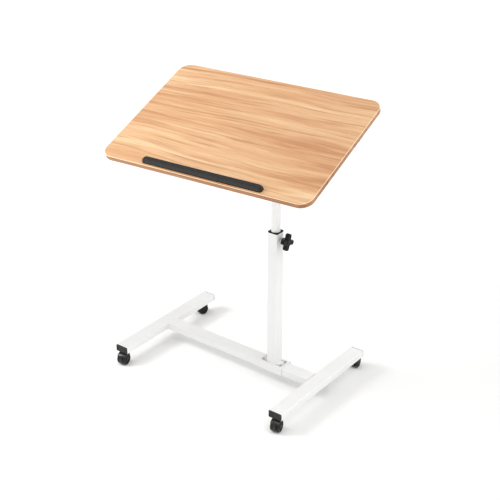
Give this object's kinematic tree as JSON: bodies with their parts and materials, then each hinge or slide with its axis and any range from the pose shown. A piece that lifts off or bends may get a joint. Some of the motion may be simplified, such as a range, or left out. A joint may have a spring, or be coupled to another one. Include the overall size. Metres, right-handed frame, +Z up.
{
  "type": "overbed table",
  "caption": "Rolling overbed table: a wood-grain tilting top with a stop bar, on a clamped telescopic post over an H-shaped castor base.",
  "frame": {"origin": "on the floor, on the axis of the column", "axes": "+Z up along the column; +X to the right and +Y to the back, square to the base, as seen from the side that the stop bar is on"},
  "size_m": [0.6257, 0.4404, 0.7813],
  "materials": {
    "frame_white": "satin",
    "black_plastic": "matte",
    "knob_black": "satin",
    "zinc_steel": "satin",
    "nylon": "matte",
    "core_board": "matte",
    "wood_laminate": "satin",
    "backer": "matte",
    "edge_band": "satin",
    "bar_black": "satin",
    "castor_black": "satin",
    "wheel_black": "satin"
  },
  "bodies": {
    "base": {"left_foot_tube": "frame_white", "right_foot_tube": "frame_white", "crossbar_tube": "frame_white", "foot_end_caps": "black_plastic", "castor_nuts": "zinc_steel", "castor_stems": "zinc_steel", "saddle_bracket": "frame_white", "saddle_screws": "zinc_steel", "saddle_nuts": "zinc_steel", "column_tube": "frame_white", "column_bush": "black_plastic", "clamp_nut": "zinc_steel"},
    "clamp_pad": {"clamp_pad": "nylon"},
    "clamp_knob": {"clamp_screw": "zinc_steel", "clamp_knob": "knob_black"},
    "slider": {"guide_slider": "black_plastic"},
    "post": {"inner_post": "frame_white", "post_head": "frame_white"},
    "top": {"top_core": "core_board", "top_laminate": "wood_laminate", "backer_laminate": "backer", "edge_band": "edge_band", "stop_bar": "bar_black", "stop_bar_screws": "zinc_steel", "tilt_bracket": "frame_white", "tilt_bracket_screws": "zinc_steel", "tilt_bolt": "zinc_steel", "tilt_friction_washers": "nylon"},
    "tilt_washer": {"tilt_washer": "zinc_steel"},
    "tilt_knob": {"tilt_knob": "knob_black", "tilt_knob_insert": "zinc_steel"},
    "castor_fl": {"castor_fl_hood": "castor_black", "castor_fl_axle": "zinc_steel"},
    "castor_fl_wheel_l": {"castor_fl_wheel_l": "wheel_black"},
    "castor_fl_wheel_r": {"castor_fl_wheel_r": "wheel_black"},
    "castor_fr": {"castor_fr_hood": "castor_black", "castor_fr_axle": "zinc_steel"},
    "castor_fr_wheel_l": {"castor_fr_wheel_l": "wheel_black"},
    "castor_fr_wheel_r": {"castor_fr_wheel_r": "wheel_black"},
    "castor_rl": {"castor_rl_hood": "castor_black", "castor_rl_axle": "zinc_steel"},
    "castor_rl_wheel_l": {"castor_rl_wheel_l": "wheel_black"},
    "castor_rl_wheel_r": {"castor_rl_wheel_r": "wheel_black"},
    "castor_rr": {"castor_rr_hood": "castor_black", "castor_rr_axle": "zinc_steel"},
    "castor_rr_wheel_l": {"castor_rr_wheel_l": "wheel_black"},
    "castor_rr_wheel_r": {"castor_rr_wheel_r": "wheel_black"}
  },
  "joints": [
    {"name": "height_slide", "type": "slide", "parent": "base", "child": "slider", "axis": [0, 0, 1], "range_m": [-0.17, 0.1]},
    {"name": "top_swivel", "type": "hinge", "parent": "slider", "child": "post", "pos_m": [0, 0, 0.6725], "axis": [0, 0, 1], "continuous": true},
    {"name": "top_tilt", "type": "hinge", "parent": "post", "child": "top", "pos_m": [0, 0, 0.6725], "axis": [0.9962, 0.0872, 0], "range_deg": [-20, 25]},
    {"name": "clamp_travel", "type": "slide", "parent": "base", "child": "clamp_pad", "axis": [1, 0, 0], "range_m": [0, 0.0025]},
    {"name": "clamp_turn", "type": "hinge", "parent": "clamp_pad", "child": "clamp_knob", "pos_m": [0.0155, 0, 0.428], "axis": [1, 0, 0], "range_deg": [0, 720]},
    {"name": "tilt_clamp_travel", "type": "slide", "parent": "top", "child": "tilt_washer", "axis": [0.9962, 0.0872, 0], "range_m": [0, 0.0025]},
    {"name": "tilt_clamp_turn", "type": "hinge", "parent": "tilt_washer", "child": "tilt_knob", "pos_m": [0.01893, 0.00166, 0.6725], "axis": [0.9962, 0.0872, 0], "range_deg": [0, 720]},
    {"name": "castor_fl_swivel", "type": "hinge", "parent": "base", "child": "castor_fl", "pos_m": [-0.384, -0.175, 0.03], "axis": [0, 0, 1], "continuous": true},
    {"name": "castor_fl_roll_l", "type": "hinge", "parent": "castor_fl", "child": "castor_fl_wheel_l", "pos_m": [-0.38157, -0.18879, 0.016], "axis": [0.9848, 0.1736, 0], "continuous": true},
    {"name": "castor_fl_roll_r", "type": "hinge", "parent": "castor_fl", "child": "castor_fl_wheel_r", "pos_m": [-0.38157, -0.18879, 0.016], "axis": [0.9848, 0.1736, 0], "continuous": true},
    {"name": "castor_fr_swivel", "type": "hinge", "parent": "base", "child": "castor_fr", "pos_m": [0.143, -0.175, 0.03], "axis": [0, 0, 1], "continuous": true},
    {"name": "castor_fr_roll_l", "type": "hinge", "parent": "castor_fr", "child": "castor_fr_wheel_l", "pos_m": [0.14591, -0.18869, 0.016], "axis": [0.9781, 0.2079, 0], "continuous": true},
    {"name": "castor_fr_roll_r", "type": "hinge", "parent": "castor_fr", "child": "castor_fr_wheel_r", "pos_m": [0.14591, -0.18869, 0.016], "axis": [0.9781, 0.2079, 0], "continuous": true},
    {"name": "castor_rl_swivel", "type": "hinge", "parent": "base", "child": "castor_rl", "pos_m": [-0.384, 0.175, 0.03], "axis": [0, 0, 1], "continuous": true},
    {"name": "castor_rl_roll_l", "type": "hinge", "parent": "castor_rl", "child": "castor_rl_wheel_l", "pos_m": [-0.38879, 0.16184, 0.016], "axis": [0.9397, -0.342, 0], "continuous": true},
    {"name": "castor_rl_roll_r", "type": "hinge", "parent": "castor_rl", "child": "castor_rl_wheel_r", "pos_m": [-0.38879, 0.16184, 0.016], "axis": [0.9397, -0.342, 0], "continuous": true},
    {"name": "castor_rr_swivel", "type": "hinge", "parent": "base", "child": "castor_rr", "pos_m": [0.143, 0.175, 0.03], "axis": [0, 0, 1], "continuous": true},
    {"name": "castor_rr_roll_l", "type": "hinge", "parent": "castor_rr", "child": "castor_rr_wheel_l", "pos_m": [0.14009, 0.18869, 0.016], "axis": [-0.9781, -0.2079, 0], "continuous": true},
    {"name": "castor_rr_roll_r", "type": "hinge", "parent": "castor_rr", "child": "castor_rr_wheel_r", "pos_m": [0.14009, 0.18869, 0.016], "axis": [-0.9781, -0.2079, 0], "continuous": true}
  ],
  "couplings": [
    {"joint": "clamp_turn", "follows": "clamp_travel", "rad_per_m": 5026.5},
    {"joint": "tilt_clamp_turn", "follows": "tilt_clamp_travel", "rad_per_m": 5026.5}
  ]
}
